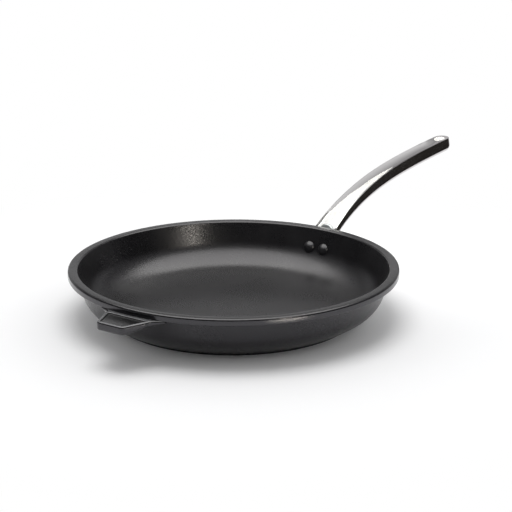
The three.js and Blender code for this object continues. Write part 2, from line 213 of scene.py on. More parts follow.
helperShape = dict(
    length=30.5, tipWidth=30.2, neckLength=7, neckWidth=48.6, rootWidth=74, thickness=8, rootThickness=2,
    overlap=0.6, cornerRound=6, edgeRound=1.6, rootLevel=40, border=3.4, panelDepth=1.4, panelEdgeGap=4, panelRound=2,
    panelBrim=1, panelFoot=0.4, panelClear=3, edgeShare=0.45, sideStops=(0.45, 0.6, 0.75, 0.88),
    # where the border's painted highlight lies: how far below the top, how level the face, how far out
    highlightDepth=0.45, highlightTilt=0.6, highlightFrom=162.5,
)


def helperOutline():
    h, rim = helperShape, panShape["rimRadius"]
    tip, neck = Vector((-rim - h["length"], h["tipWidth"] / 2)), Vector((-rim - h["neckLength"], h["neckWidth"] / 2))
    root = Vector((-math.sqrt(rim ** 2 - (h["rootWidth"] / 2) ** 2), h["rootWidth"] / 2))
    bend = Vector((-rim, h["neckWidth"] / 2))
    side = roundCorner((tip.x, 0), tip, neck, h["cornerRound"], steps=14)
    side += [tuple(tip.lerp(neck, t)) for t in h["sideStops"]]
    side += [tuple(neck * (1 - t) ** 2 + bend * 2 * t * (1 - t) + root * t ** 2) for t in evenly(0, 1, 16)]
    return side


def insetPoints(points, distance):
    moved = []
    for i, p in enumerate(points):
        a, b = Vector(points[max(i - 1, 0)]), Vector(points[min(i + 1, len(points) - 1)])
        along = (b - a).normalized()
        moved.append((p[0] + along.y * distance, p[1] - along.x * distance))
    return moved


def helperRing(side, inset, height, steps=24):
    h = helperShape
    edge = insetPoints(side, inset)
    turn = math.asin(h["rootWidth"] / 2 / panShape["rimRadius"])
    ring = [(x, y, height(y)) for x, y in edge]
    for a in evenly(turn, -turn, steps):  # inner end, sunk half way into the wall
        z = height(wallOutside(h["rootLevel"]) * math.sin(a))
        r = wallOutside(z) - panShape["wallThickness"] / 2
        ring.append((-r * math.cos(a), r * math.sin(a), z))
    ring += [(x, -y, height(y)) for x, y in reversed(edge)]
    return ring


def makeHelperHandle():
    h = helperShape
    top = panShape["height"] - panShape["rimDepth"] + h["overlap"]

    def bottom(y):  # the underside thins towards the root
        t = min(max((abs(y) - h["tipWidth"] / 2) / (h["rootWidth"] - h["tipWidth"]) * 2, 0), 1)
        return top - h["thickness"] + (h["thickness"] - h["rootThickness"]) * t

    def edgeRound(y):
        return min(h["edgeRound"], h["edgeShare"] * (top - bottom(y)))

    side = helperOutline()
    rings = []
    for a in evenly(0, math.pi / 2, 6):
        rings.append(helperRing(side, h["edgeRound"] * (1 - math.sin(a)),
                                lambda y: bottom(y) + edgeRound(y) * (1 - math.cos(a))))
    for a in evenly(0, math.pi / 2, 6):
        rings.append(helperRing(side, h["edgeRound"] * (1 - math.cos(a)),
                                lambda y: top - edgeRound(y) * (1 - math.sin(a))))
    tab = stackRings("helperHandle", rings)

    # recessed panel, with a rounded brim and a soft corner at its floor
    reach = panShape["rimRadius"] + h["length"]
    near, far = panShape["rimRadius"] + h["panelEdgeGap"], reach - h["border"]
    slope = (h["neckWidth"] - h["tipWidth"]) / 2 / (h["length"] - h["neckLength"])
    inward = h["border"] * math.hypot(1, slope)

    def panelRing(grow, z):
        radius = h["panelRound"] + grow
        nearHalf, farHalf = (h["tipWidth"] / 2 + (reach - x) * slope - inward + grow for x in (near, far))
        inner, outer = -near + grow, -far - grow
        corners = [(inner, nearHalf), (outer, farHalf), (outer, -farHalf), (inner, -nearHalf)]
        return [(x, y, z) for x, y in roundOutline([(corner, radius) for corner in corners], 8)]

    brim, foot = h["panelBrim"], h["panelFoot"]
    rings = [panelRing(-foot * (1 - math.sin(a)), top - h["panelDepth"] + foot * (1 - math.cos(a)))
             for a in evenly(0, math.pi / 2, 5)]
    rings += [panelRing(brim * (1 - math.cos(a)), top - brim + brim * math.sin(a)) for a in evenly(0, math.pi / 2, 5)]
    rings.append(panelRing(brim, top + h["panelClear"]))
    cutOut(tab, stackRings("panelCutter", rings))
    smoothPiece(tab, sharpAngle=32)
    return tab


def isBorderHighlight(at, normal):
    # the raised border's top takes a paler coat: a painted highlight along the edges that catch the light
    h = helperShape
    border = panShape["height"] - panShape["rimDepth"] + h["overlap"] - h["highlightDepth"]
    return at.z > border and normal.z > h["highlightTilt"] and at.x < -h["highlightFrom"]


# seat of the handle on the back wall: X across, Y up the wall, Z outwards

seatShape = dict(
    rivetBelowRim=19, padWidth=37, padHeight=27, padRound=6, padEdge=1.2, sunk=2.6, gap=0.3,
    flangeThickness=4, flangeWidth=33, flangeDrop=12.5, flangeShoulder=12.5, flangeRound=7, shoulderRound=4,
    tongueRise=2, tongueWidth=19, tongueCorner=1.5, flangeEdge=1.9,
)
rivetHeight = panShape["height"] - seatShape["rivetBelowRim"]
padRise = panShape["rimOverhang"] * math.cos(panShape["wallLean"])
seatRise = padRise + seatShape["gap"]


def seatFrame():
    lean = panShape["wallLean"]
    across, outward = Vector((0, 1, 0)), Vector((math.cos(lean), 0, -math.sin(lean)))
    axes = Matrix((across, outward.cross(across), outward)).transposed().to_4x4()
    return Matrix.Translation((wallOutside(rivetHeight), 0, rivetHeight)) @ axes


def plateRings(outline, low, high, edge, steps, bothEdges=True):
    # outline runs counter-clockwise, its edges are rounded over
    def ring(inset, z):
        moved = []
        for i, p in enumerate(outline):
            a, b = Vector(outline[i - 1]), Vector(outline[(i + 1) % len(outline)])
            along = (b - a).normalized()
            moved.append((p[0] - along.y * inset, p[1] + along.x * inset, z))
        return moved
    turn = evenly(0, math.pi / 2, steps)
    rings = [ring(0, low)]
    if bothEdges:
        rings = [ring(edge * (1 - math.sin(a)), low + edge * (1 - math.cos(a))) for a in turn]
    rings += [ring(edge * (1 - math.cos(a)), high - edge * (1 - math.sin(a))) for a in turn]
    place = seatFrame()
    return [[place @ Vector(p) for p in row] for row in rings]


def makeMountingPad():
    s = seatShape
    w, h = s["padWidth"] / 2, s["padHeight"] / 2
    outline = roundOutline([((-w, -h), s["padRound"]), ((w, -h), s["padRound"]),
                            ((w, h), s["padRound"]), ((-w, h), s["padRound"])], 12)
    return stackRings("mountingPad", plateRings(outline, -s["sunk"], padRise, s["padEdge"], 6, bothEdges=False))


def makeFlange():
    s = seatShape
    lean = panShape["wallLean"]
    side, drop, shoulder, tongue = s["flangeWidth"] / 2, s["flangeDrop"], s["flangeShoulder"], s["tongueWidth"] / 2
    middle = seatRise + s["flangeThickness"] / 2
    tongueTop = (s["rivetBelowRim"] + s["tongueRise"] + middle * math.sin(lean)) / math.cos(lean)
    right = roundCorner((0, -drop), (side, -drop), (side, 0), s["flangeRound"], steps=12)
    right += roundCorner((side, 0), (side, shoulder), (tongue, shoulder), s["shoulderRound"], steps=8)
    right += roundCorner((side, shoulder), (tongue, shoulder), (tongue, tongueTop), s["tongueCorner"], steps=5)
    right += [(tongue * math.cos(a), tongueTop - tongue + tongue * math.sin(a)) for a in evenly(0, math.pi / 2, 14)]
    left = [(-x, y) for x, y in reversed(right[:-1])]
    rings = plateRings(right + left, seatRise, seatRise + s["flangeThickness"], s["flangeEdge"], 5)
    return stackRings("handleFlange", rings)


# rivets, standing square to the wall

rivetShape = dict(
    spacing=17, headRadius=6.2, headHeight=3.4, headShare=0.97, headRim=0.12, shankRadius=3,
    tailRadius=4.8, tailHeight=2, tailFoot=0.3, tailRound=1.2, steps=72,
)


def makeRivet(name, side):
    r = rivetShape
    lean, gap = panShape["wallLean"], seatShape["gap"]
    inside = wallInside(rivetHeight)
    turn = math.asin(r["spacing"] / 2 / inside)
    tilt = 1 - math.cos(lean) ** 2 * (1 - math.cos(turn))
    fallsAway = inside * (1 - math.cos(turn)) * math.cos(lean)
    square = panShape["wallThickness"] + seatRise + seatShape["flangeThickness"] + fallsAway
    tailSeat = square / tilt + r["tailRadius"] * math.tan(math.acos(tilt)) + gap
    tailTop = tailSeat + r["tailHeight"]
    dome = (r["headRadius"] ** 2 + r["headHeight"] ** 2) / (2 * r["headHeight"])
    sweep = math.asin(r["headRadius"] / dome)
    profile = [(dome * math.sin(a), dome * (1 - math.cos(a)) - r["headHeight"] - gap)
               for a in evenly(0, sweep * r["headShare"], 20)]
    shankTop, shankEnd = (r["shankRadius"], -gap), (r["shankRadius"], tailSeat)
    tailLow, tailHigh = (r["tailRadius"], tailSeat), (r["tailRadius"], tailTop)
    profile += roundCorner(profile[-1], (r["headRadius"], -gap), shankTop, r["headRim"], steps=3)
    profile += [shankTop, shankEnd]
    profile += roundCorner(shankEnd, tailLow, tailHigh, r["tailFoot"], steps=3)
    profile += roundCorner(tailLow, tailHigh, (0, tailTop), r["tailRound"], steps=7)
    profile += [(0, tailTop)]
    place = (Matrix.Rotation(side * turn, 4, "Z") @ Matrix.Translation((inside, 0, rivetHeight))
             @ Matrix.Rotation(math.pi / 2 + lean, 4, "Y"))
    return turnedPiece(name, profile, r["steps"], place, sharpAngle=35)


# forked handle, lofted along the curve of its top edge

handleShape = dict(
    curve=((1, -1), (60, 36), (133, 43.2), (243, 47)),  # beyond the rim, above the rim
    rootWidth=25.6, tipWidth=16.4, taper=3.2, rootDepth=11, gripDepth=14.7, tipDepth=15, rootStart=6,
    edgeRound=0.3, rootEdge=1.2, rootEdgeFade=(55, 100), noseEdge=0.4, noseEdgeGrow=(234, 242), edgeShare=0.7,
    bellyRound=6.5, sideLean=math.radians(8), noseLength=8.5, noseWidth=2, noseLift=4,
    dishDepth=4.6, dishHalf=8, dishGrow=0.8, dishEdge=0.05, dishFade=205, dishEnd=232, dishBottom=2,
    slotTip=133, slotTipLength=12, slotWaist=79, slotWaistWidth=7.4, slotShoulder=56, slotShoulderWidth=11.4,
    slotShoulderBend=9, slotRootOut=-10, slotRootWidth=21, slotEdge=0.2,
    holeInset=13, holeWidth=10, holeLength=13, holeEdge=0.5, holeClear=4, seam=0.03,
    topSteps=16, edgeSteps=8, bellySteps=24, outsideSteps=33, slotEdgeSteps=4, wallSteps=8,
    tipBefore=14, tipAfter=4, barSteps=(70, 40, 60, 18), sharpAngle=35,
)


def bezier(points, t):
    a, b, c, d = (Vector(p) for p in points)
    return a * (1 - t) ** 3 + b * 3 * t * (1 - t) ** 2 + c * 3 * t * t * (1 - t) + d * t ** 3


halvings, nearby = 40, 1e-4  # to find a point on the curve, and its slope
passes = 4  # to settle the slot's edge


def barCurve(reach):
    rim, top = panShape["rimRadius"], panShape["height"]
    points = [(rim + x, top + z) for x, z in handleShape["curve"]]
    low, high = 0, 1
    for _ in range(halvings):
        half = (low + high) / 2
        low, high = (half, high) if bezier(points, half).x < reach else (low, half)
    a, b = bezier(points, max(low - nearby, 0)), bezier(points, min(low + nearby, 1))
    return bezier(points, low), (b - a).normalized()


def alongBar(reach):
    start, end = (panShape["rimRadius"] + handleShape["curve"][i][0] for i in (0, 3))
    return min(max((reach - start) / (end - start), 0), 1)


def intoNose(reach):
    end = panShape["rimRadius"] + handleShape["curve"][3][0]
    return min(max((reach - end) / handleShape["noseLength"] + 1, 0), 1)


def barHalfWidth(reach):
    h = handleShape
    plain = h["tipWidth"] / 2 + (h["rootWidth"] - h["tipWidth"]) / 2 * (1 - alongBar(reach)) ** h["taper"]
    blunt = h["noseWidth"] / 2
    return blunt + (plain - blunt) * math.sqrt(1 - intoNose(reach) ** 2)


def barDepth(reach):
    h, t = handleShape, alongBar(reach)
    bulge = 2 * h["gripDepth"] - (h["rootDepth"] + h["tipDepth"]) / 2
    plain = h["rootDepth"] * (1 - t) ** 2 + bulge * 2 * t * (1 - t) + h["tipDepth"] * t ** 2
    return plain - h["noseLift"] * (1 - math.sqrt(1 - intoNose(reach) ** 2))


def barEdge(reach):
    # rounding of the top's outer edge, as much as the prong has room for
    h = handleShape
    out = reach - panShape["rimRadius"]
    wanted = h["rootEdge"] + (h["edgeRound"] - h["rootEdge"]) * smoothStep(out, *h["rootEdgeFade"])
    wanted += h["noseEdge"] * smoothStep(out, *h["noseEdgeGrow"])
    room = barHalfWidth(reach) - slotHalf(barCurve(reach)[0].x) - h["slotEdge"]
    return min(wanted, h["edgeShare"] * room)


def dishDrop(reach, y):
    # an arc, deeper where the bar is wider
    h = handleShape
    out = reach - panShape["rimRadius"]
    half = barHalfWidth(reach) - barEdge(reach) - h["dishEdge"]
    if half <= 0 or abs(y) >= half:
        return 0.0
    depth = h["dishDepth"] * (half / h["dishHalf"]) ** h["dishGrow"]
    depth *= 1 - smoothStep(out, h["dishFade"], h["dishEnd"])
    bottom = h["dishBottom"]
    climb = (math.hypot(y / half, bottom) - bottom) / (math.hypot(1, bottom) - bottom)
    return depth * (1 - climb)


def slotSide():
    h, rim = handleShape, panShape["rimRadius"]
    tip, waist = Vector((rim + h["slotTip"], 0)), Vector((rim + h["slotWaist"], h["slotWaistWidth"] / 2))
    shoulder = Vector((rim + h["slotShoulder"], h["slotShoulderWidth"] / 2))
    root = Vector((rim + h["slotRootOut"], h["slotRootWidth"] / 2))
    spread = (shoulder - root).normalized()
    leaf = (tip, (tip.x - h["slotTipLength"], waist.y / 2), (waist.x + h["slotTipLength"], waist.y), waist)
    bend = (waist, (waist.x - h["slotShoulderBend"], waist.y), shoulder + spread * h["slotShoulderBend"], shoulder)
    side = [bezier(leaf, t) for t in evenly(0, 1, 60)] + [bezier(bend, t) for t in evenly(0, 1, 40)] + [root]
    return [tuple(p) for p in reversed(side)]


slotLine = slotSide()


def slotHalf(x):
    if x >= slotLine[-1][0]:
        return 0.0
    for (x0, y0), (x1, y1) in zip(slotLine, slotLine[1:]):
        if x <= x1:
            return y0 + (y1 - y0) * (x - x0) / (x1 - x0) if x1 > x0 else y1
    return 0.0


def evenPath(path, steps):
    # the same path, in a set number of even steps
    lengths = [0.0]
    for a, b in zip(path, path[1:]):
        lengths.append(lengths[-1] + math.dist(a, b))
    points, k = [], 0
    for d in evenly(0, lengths[-1], steps):
        while k + 2 < len(lengths) and lengths[k + 1] < d:
            k += 1
        t = (d - lengths[k]) / max(lengths[k + 1] - lengths[k], tiny)
        points.append(tuple(a + (b - a) * min(max(t, 0), 1) for a, b in zip(path[k], path[k + 1])))
    return points


def prongSection(reach):
    # one half of the bar from the slot's edge out over the dish, down the side, under the belly and up the slot
    h = handleShape
    at, along = barCurve(reach)
    half, depth = barHalfWidth(reach), barDepth(reach)

    def gap(p):
        return slotHalf(at.x - p * along.y)

    inner = gap(0)
    for _ in range(passes):
        inner = gap(-dishDrop(reach, inner))
    edge = h["slotEdge"] * min(inner / 2, 1)
    topStart = inner + edge
    turn = barEdge(reach)
    land = half - turn - h["dishEdge"]
    if topStart < land:
        top = [(y, -dishDrop(reach, y)) for y in evenly(topStart, land, h["topSteps"])]
    else:
        top = [(topStart, 0)] * (h["topSteps"] + 1)
    rim = [(half - turn + turn * math.sin(a), -turn * (1 - math.cos(a)))
           for a in evenly(0, math.pi / 2 - h["sideLean"], h["edgeSteps"])]

    wide = half + depth * math.tan(h["sideLean"])
    belly = min(h["bellyRound"], half)
    turned = roundCorner(rim[-1], (wide, -depth), (0, -depth), belly, h["bellySteps"])
    under = [rim[-1]] + turned + [(0, -depth)]
    innerLow = gap(-depth)
    for _ in range(passes):
        cut = clipPath(under, innerLow + edge)
        innerLow = gap(cut[-1][1])
    cut = clipPath(under, innerLow + edge)
    outside = evenPath(cut, h["outsideSteps"])[1:]
    lowEnd, topEnd = outside[-1][1], top[0][1]
    quarter = evenly(0, math.pi / 2, h["slotEdgeSteps"])
    low = [(innerLow + edge * (1 - math.sin(a)), lowEnd + edge * (1 - math.cos(a))) for a in quarter[1:]]
    wall = [(gap(p), p) for p in evenly(lowEnd + edge, topEnd - edge, h["wallSteps"])[1:]]
    high = [(inner + edge * (1 - math.cos(a)), topEnd - edge * (1 - math.sin(a))) for a in quarter[1:-1]]
    loop = top + rim + outside + low + wall + high
    return at, along, [(y if y > h["seam"] else 0.0, p) for y, p in loop]  # the two halves meet on the middle


def clipPath(path, y):
    # the path comes in towards the middle and stops at y
    kept = [path[0]]
    for a, b in zip(path, path[1:]):
        if b[0] <= y < a[0]:
            t = (a[0] - y) / (a[0] - b[0])
            return kept + [(y, a[1] + (b[1] - a[1]) * t)]
        kept.append(b)
    return kept


def makeHandleBar():
    h, rim = handleShape, panShape["rimRadius"]
    end = rim + h["curve"][3][0]
    noseStart = end - h["noseLength"]
    tip = rim + h["slotTip"]
    close, past = tip - h["tipBefore"], tip + h["tipAfter"]  # finer sections about the slot's tip
    forkSteps, tipSteps, gripSteps, noseSteps = h["barSteps"]
    reaches = evenly(rim + h["rootStart"], close, forkSteps) + evenly(close, past, tipSteps)[1:]
    reaches += evenly(past, noseStart, gripSteps)[1:]
    reaches += [noseStart + h["noseLength"] * math.sin(a) for a in evenly(0, math.pi / 2, noseSteps)][1:]
    rows = []
    for reach in reaches:
        at, along, loop = prongSection(reach)
        rows.append([Vector((at.x - p * along.y, y, at.y + p * along.x)) for y, p in loop])
    # the root runs straight back to the seat
    lean = panShape["wallLean"]
    outward = Vector((math.cos(lean), 0, -math.sin(lean)))
    seat = Vector((wallOutside(rivetHeight), 0, rivetHeight)) + outward * seatRise
    along = barCurve(reaches[0])[1]
    run = Vector((along.x, 0, along.y))
    rows.insert(0, [p - run * ((p - seat).dot(outward) / run.dot(outward)) for p in rows[0]])

    count = len(rows[0])
    points = [p for row in rows for p in row]
    faces = [tuple(range(count)), tuple(range((len(rows) - 1) * count, len(rows) * count))]
    for i in range(len(rows) - 1):
        for j in range(count):
            k = (j + 1) % count
            face = (i * count + j, i * count + k, (i + 1) * count + k, (i + 1) * count + j)
            if max(points[n].y for n in face) > tiny:  # no skin where the two halves meet
                faces.append(face)
    total = len(points)
    faces += [tuple(n + total for n in reversed(face)) for face in faces]
    points += [Vector((p.x, -p.y, p.z)) for p in points]
    bar = meshPiece("handleBar", points, faces, h["sharpAngle"])
    cutOut(bar, makeHoleCutter(end - h["holeInset"]))
    smoothPiece(bar, h["sharpAngle"])
    return bar


def makeHoleCutter(reach):
    # a stadium that flares at both faces, so the hole's edges come out rounded
    h = handleShape
    at, along = barCurve(reach)
    depth = barDepth(reach)
    edge, straight = h["holeEdge"], (h["holeLength"] - h["holeWidth"]) / 2

    def ring(grow, p):
        radius = h["holeWidth"] / 2 + grow
        row = [(straight + radius * math.cos(a), radius * math.sin(a)) for a in evenly(-math.pi / 2, math.pi / 2, 28)]
        row += [(-x, -y) for x, y in row]
        return [(at.x + x * along.x - p * along.y, y, at.y + x * along.y + p * along.x) for x, y in row]

    turn = evenly(0, math.pi / 2, 6)
    rings = [ring(edge, -depth - h["holeClear"])]
    rings += [ring(edge * (1 - math.sin(a)), -depth + edge * (1 - math.cos(a))) for a in turn]
    rings += [ring(edge * (1 - math.cos(a)), -edge * (1 - math.sin(a))) for a in turn]
    rings.append(ring(edge, h["holeClear"]))
    return stackRings("holeCutter", rings)


# which walls of the slot and hole take the near-white painted reflection
whiteWallReach = dict(holeMargin=0.3, holeTilt=0.95, slotMargin=0.5, slotTilt=0.8)


def isOpeningWall(at, normal):
    # the upright walls inside the slot and the hanging hole
    h, w = handleShape, whiteWallReach
    hole = panShape["rimRadius"] + h["curve"][3][0] - h["holeInset"]
    along, across = abs(at.x - hole) - h["holeLength"] / 2, abs(at.y) - h["holeWidth"] / 2
    if along < w["holeMargin"] and across < w["holeMargin"]:
        return abs(normal.z) < w["holeTilt"]
    inSlot = abs(at.y) < slotHalf(at.x) + w["slotMargin"]
    return inSlot and normal.y * at.y <= 0 and abs(normal.y) > w["slotTilt"]


# shader tools

def newGroup(name, inputs, outputs):
    group = bpy.data.node_groups.new(name, "ShaderNodeTree")
    for label, kind, value in inputs:
        socket = group.interface.new_socket(label, in_out="INPUT", socket_type=kind)
        socket.default_value = value
    for label, kind in outputs:
        group.interface.new_socket(label, in_out="OUTPUT", socket_type=kind)
    return group, group.nodes.new("NodeGroupInput"), group.nodes.new("NodeGroupOutput")


def addNode(tree, kind, links=None, **settings):
    node = tree.nodes.new(kind)
    for label, value in settings.items():
        setattr(node, label, value)
    for socket, source in (links or {}).items():
        if hasattr(source, "is_linked"):
            tree.links.new(source, node.inputs[socket])
        else:
            node.inputs[socket].default_value = source
    return node


def combine(tree, operation, *values):
    return addNode(tree, "ShaderNodeMath", dict(enumerate(values)), operation=operation).outputs[0]


def mapRange(tree, value, low, high, toLow=0.0, toHigh=1.0, kind="LINEAR"):
    node = addNode(tree, "ShaderNodeMapRange", {"Value": value, "From Min": low, "From Max": high,
                                                "To Min": toLow, "To Max": toHigh}, interpolation_type=kind)
    return node.outputs["Result"]


def objectPlace(tree):
    return addNode(tree, "ShaderNodeTexCoord").outputs["Object"]


def axisDistance(tree, place):
    # how far a point lies from the pan's axis
    flat = addNode(tree, "ShaderNodeVectorMath", {0: place, 1: (1.0, 1.0, 0.0)}, operation="MULTIPLY").outputs[0]
    return addNode(tree, "ShaderNodeVectorMath", {0: flat}, operation="LENGTH").outputs["Value"]


def mixColours(tree, amount, first, second):
    return addNode(tree, "ShaderNodeMix", {0: amount, 6: first, 7: second}, data_type="RGBA").outputs[2]


def joinOutputs(group, outside, **sources):
    for label, source in sources.items():
        group.links.new(source, outside.inputs[label])


# shader groups

perMetre = 1000.0  # millimetres
grainLook = dict(detail=2.0, roughness=0.6, flecks=(0.55, 1.0), middle=0.5)


def makeCoatGrain():
    # sprayed coating: fine pitted grain with paler flecks in it
    group, inside, outside = newGroup(
        "coatGrain",
        [("Grain Size", "NodeSocketFloat", 0.6), ("Base", "NodeSocketColor", (0.014, 0.014, 0.015, 1)),
         ("Fleck", "NodeSocketColor", (0.05, 0.05, 0.053, 1)), ("Fleck Amount", "NodeSocketFloat", 0.2),
         ("Roughness", "NodeSocketFloat", 0.38), ("Roughness Spread", "NodeSocketFloat", 0.1)],
        [("Color", "NodeSocketColor"), ("Roughness", "NodeSocketFloat"), ("Height", "NodeSocketFloat")])
    place, given, g = objectPlace(group), inside.outputs, grainLook
    scale = combine(group, "DIVIDE", perMetre, given["Grain Size"])
    fine = addNode(group, "ShaderNodeTexNoise", {"Vector": place, "Scale": scale, "Detail": g["detail"],
                                                 "Roughness": g["roughness"]})
    cells = addNode(group, "ShaderNodeTexVoronoi", {"Vector": place, "Scale": scale})
    flecks = mapRange(group, cells.outputs["Color"], *g["flecks"])
    amount = combine(group, "MULTIPLY", flecks, given["Fleck Amount"])
    colour = mixColours(group, amount, given["Base"], given["Fleck"])
    centred = combine(group, "SUBTRACT", fine.outputs["Fac"], g["middle"])
    rough = combine(group, "MULTIPLY_ADD", centred, given["Roughness Spread"], given["Roughness"])
    joinOutputs(group, outside, Color=colour, Roughness=rough, Height=fine.outputs["Fac"])
    return group


marksLook = dict(detail=3.0, distortion=0.6, soft=(0.35, 0.7))


def makeHandlingMarks():
    # broad soft smears left by wiping
    group, inside, outside = newGroup(
        "handlingMarks",
        [("Size", "NodeSocketFloat", 40.0), ("Low", "NodeSocketFloat", 0.0), ("High", "NodeSocketFloat", 1.0)],
        [("Mask", "NodeSocketFloat")])
    place, given, m = objectPlace(group), inside.outputs, marksLook
    scale = combine(group, "DIVIDE", perMetre, given["Size"])
    noise = addNode(group, "ShaderNodeTexNoise", {"Vector": place, "Scale": scale, "Detail": m["detail"],
                                                  "Distortion": m["distortion"]})
    spread = mapRange(group, noise.outputs["Fac"], *m["soft"], kind="SMOOTHSTEP")
    joinOutputs(group, outside, Mask=mapRange(group, spread, 0.0, 1.0, given["Low"], given["High"]))
    return group


rimGrinding = dict(top=(0.0485, 0.0494), face=(0.157, 0.159))  # metres up, metres from the axis


def makeRimBand():
    # the rim and the helper handle are ground smoother than the rest
    group, inside, outside = newGroup("rimBand", [("Amount", "NodeSocketFloat", 0.1)], [("Drop", "NodeSocketFloat")])
    place = objectPlace(group)
    up = addNode(group, "ShaderNodeSeparateXYZ", {0: place}).outputs["Z"]
    top = mapRange(group, up, *rimGrinding["top"])
    face = mapRange(group, axisDistance(group, place), *rimGrinding["face"])
    band = combine(group, "MAXIMUM", top, face)
    joinOutputs(group, outside, Drop=combine(group, "MULTIPLY", band, inside.outputs["Amount"]))
    return group


streakLook = dict(stretch=(90.0, 1800.0, 1800.0), detail=3.0, contrast=(0.3, 0.7))


def makeSteelStreaks():
    # fine lines along the handle, left by polishing
    group, inside, outside = newGroup(
        "steelStreaks", [("Low", "NodeSocketFloat", 0.05), ("High", "NodeSocketFloat", 0.1)],
        [("Roughness", "NodeSocketFloat"), ("Height", "NodeSocketFloat")])
    s, given = streakLook, inside.outputs
    stretch = addNode(group, "ShaderNodeMapping", {"Vector": objectPlace(group), "Scale": s["stretch"]})
    noise = addNode(group, "ShaderNodeTexNoise", {"Vector": stretch.outputs["Vector"], "Scale": 1.0,
                                                  "Detail": s["detail"]})
    lines = noise.outputs["Fac"]
    rough = mapRange(group, lines, *s["contrast"], given["Low"], given["High"])
    joinOutputs(group, outside, Roughness=rough, Height=lines)
    return group


coatGrain, handlingMarks = makeCoatGrain(), makeHandlingMarks()
rimBand, steelStreaks = makeRimBand(), makeSteelStreaks()


def newMaterial(name):
    material = bpy.data.materials.new(name)
    material.use_nodes = True
    tree = material.node_tree
    return material, tree, tree.nodes["Principled BSDF"]


def placeGroup(tree, group, **values):
    node = tree.nodes.new("ShaderNodeGroup")
    node.node_tree = group
    for label, value in values.items():
        node.inputs[label.replace("_", " ")].default_value = value
    return node


def placeGrain(tree, f):
    return placeGroup(tree, coatGrain, Grain_Size=f["grain"], Base=f["base"], Fleck=f["fleck"],
                      Fleck_Amount=f["fleckAmount"], Roughness=f["roughness"], Roughness_Spread=f["spread"])


def addBump(tree, shader, height, strength, distance):
    bump = addNode(tree, "ShaderNodeBump", {"Height": height, "Strength": strength, "Distance": distance})
    tree.links.new(bump.outputs["Normal"], shader.inputs["Normal"])


# finishes

coatFinish = dict(
    base=(0.0032, 0.003, 0.0036, 1), fleck=(0.04, 0.04, 0.042, 1), fleckAmount=0.12, grain=1.3,
    roughness=0.3, spread=0.2, rimPolish=0.12, bump=0.5, marks=60.0,
)
# a paler coat that paints a highlight on the helper handle's raised border
borderHighlightFinish = dict(
    base=(0.09, 0.09, 0.094, 1), fleck=(0.3, 0.3, 0.31, 1), fleckAmount=0.3, grain=0.8,
    roughness=0.34, spread=0.2, rimPolish=0.1, bump=0.3, marks=12.0,
)
rivetFinish = dict(
    base=(0.007, 0.007, 0.0078, 1), fleck=(0.05, 0.05, 0.053, 1), fleckAmount=0.15, grain=0.6,
    roughness=0.34, spread=0.15, rimPolish=0.0, bump=0.25, marks=9.0,
)
coatShine = dict(ior=1.65, tint=(0.96, 0.94, 1.0, 1), marksLow=-0.03, marksHigh=0.04, bumpDistance=0.0002)


def makeCoat(name, f):
    material, tree, shader = newMaterial(name)
    grain, shine = placeGrain(tree, f), coatShine
    marks = placeGroup(tree, handlingMarks, Size=f["marks"], Low=shine["marksLow"], High=shine["marksHigh"])
    band = placeGroup(tree, rimBand, Amount=f["rimPolish"])
    rough = combine(tree, "ADD", grain.outputs["Roughness"], marks.outputs["Mask"])
    tree.links.new(combine(tree, "SUBTRACT", rough, band.outputs["Drop"]), shader.inputs["Roughness"])
    tree.links.new(grain.outputs["Color"], shader.inputs["Base Color"])
    shader.inputs["IOR"].default_value = shine["ior"]
    shader.inputs["Specular Tint"].default_value = shine["tint"]
    addBump(tree, shader, grain.outputs["Height"], f["bump"], shine["bumpDistance"])
    return material


steelFinish = dict(colour=(0.79, 0.785, 0.78, 1), roughness=0.07, streak=0.05, bump=0.015)
castFinish = dict(colour=(0.5, 0.52, 0.53, 1), roughness=0.42, streak=0.1, bump=0.05)
steelShine = dict(tint=(0.72, 0.69, 0.71, 1), marks=22.0, marksHigh=0.06, bumpDistance=0.00005)


def makeSteel(name, f):
    material, tree, shader = newMaterial(name)
    shine, spread = steelShine, f["streak"] / 2
    streaks = placeGroup(tree, steelStreaks, Low=f["roughness"] - spread, High=f["roughness"] + spread)
    marks = placeGroup(tree, handlingMarks, Size=shine["marks"], Low=0.0, High=shine["marksHigh"])
    rough = combine(tree, "ADD", streaks.outputs["Roughness"], marks.outputs["Mask"])
    tree.links.new(rough, shader.inputs["Roughness"])
    shader.inputs["Base Color"].default_value = f["colour"]
    shader.inputs["Metallic"].default_value = 1.0
    shader.inputs["Specular Tint"].default_value = shine["tint"]
    addBump(tree, shader, streaks.outputs["Height"], f["bump"], shine["bumpDistance"])
    return material


# near-white diffuse in place of steel: a painted reflection of the pale table
whiteWallFinish = dict(
    base=(0.98, 0.97, 0.94, 1), fleck=(0.9, 0.89, 0.87, 1), fleckAmount=0.15, grain=0.6,
    roughness=0.6, spread=0.2, bump=0.06, bumpDistance=0.0001,
)


def makeWhiteWallSteel():
    # walls of the slot and the hole: rough, not polished, and near-white diffuse, a painted reflection of the pale
    # table the steel faces
    f = whiteWallFinish
    material, tree, shader = newMaterial("whiteWallSteel")
    grain = placeGrain(tree, f)
    tree.links.new(grain.outputs["Color"], shader.inputs["Base Color"])
    tree.links.new(grain.outputs["Roughness"], shader.inputs["Roughness"])
    addBump(tree, shader, grain.outputs["Height"], f["bump"], f["bumpDistance"])
    return material


baseFinish = dict(
    light=(0.62, 0.62, 0.63, 1), dark=(0.4, 0.4, 0.41, 1), lineWidth=0.9, detail=2.0,
    contrast=(0.3, 0.7), roughness=(0.28, 0.42), marks=45.0, marksHigh=0.35, bump=0.3, bumpDistance=0.0001,
)


